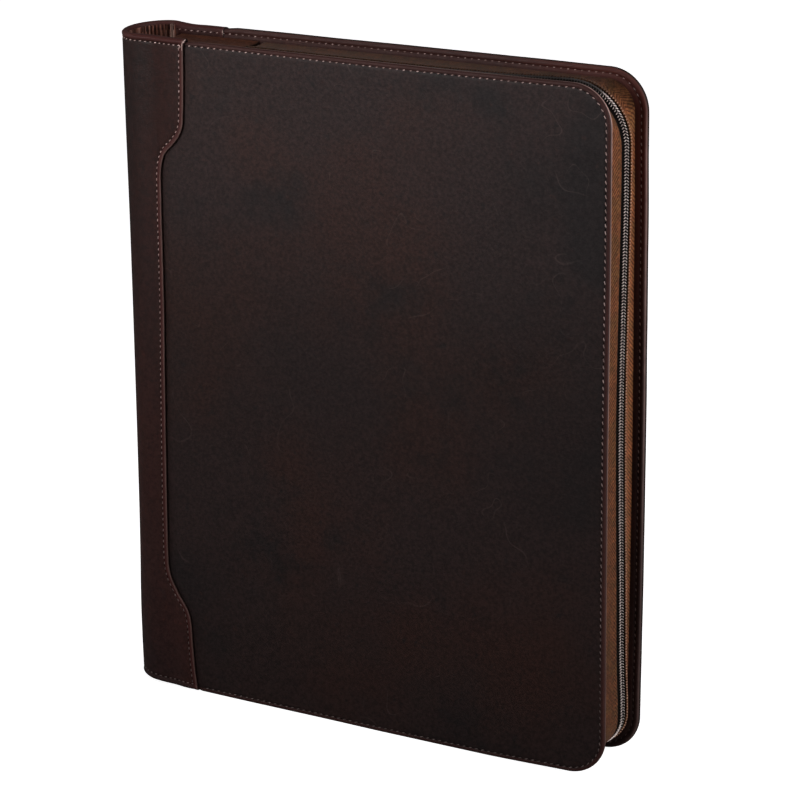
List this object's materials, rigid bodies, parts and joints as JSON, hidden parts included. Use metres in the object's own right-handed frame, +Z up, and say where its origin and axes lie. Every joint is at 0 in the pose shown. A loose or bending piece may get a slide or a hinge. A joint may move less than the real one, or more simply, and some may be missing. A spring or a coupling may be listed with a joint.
{
  "type": "leather document case",
  "caption": "Slim upright zip-round leather document case with a rounded wrapped spine, a shaped stitched seam and rounded corners on the zip side.",
  "frame": {"origin": "bottom centre of the whole case as it stands", "axes": "+Z up along the spine, +X from the spine to the zip side, +Y from the front cover to the back cover"},
  "size_m": [0.28, 0.0412, 0.343],
  "materials": {
    "cover_leather": "dark brown waxed leather with rusty and blue-black mottling and fine scratches",
    "spine_leather": "dark brown waxed leather, rustier towards the foot",
    "inner_leather": "reddish brown inner leather",
    "zip_tape": "brown twill woven zip tape",
    "zip_teeth": "grey-bronze coil teeth over a black-brown core",
    "stitch_thread": "pinkish tan waxed thread",
    "zip_metal": "aged dark brass"
  },
  "bodies": {
    "root": {"front_cover": "cover_leather", "back_cover": "cover_leather", "spine_strip": "spine_leather", "spine_lining": "inner_leather", "gusset_end_top": "inner_leather", "gusset_end_bottom": "inner_leather", "zip_tape_front": "zip_tape", "zip_tape_back": "zip_tape", "zip_chain": "zip_teeth", "zip_slider": "zip_metal"}
  },
  "joints": []
}
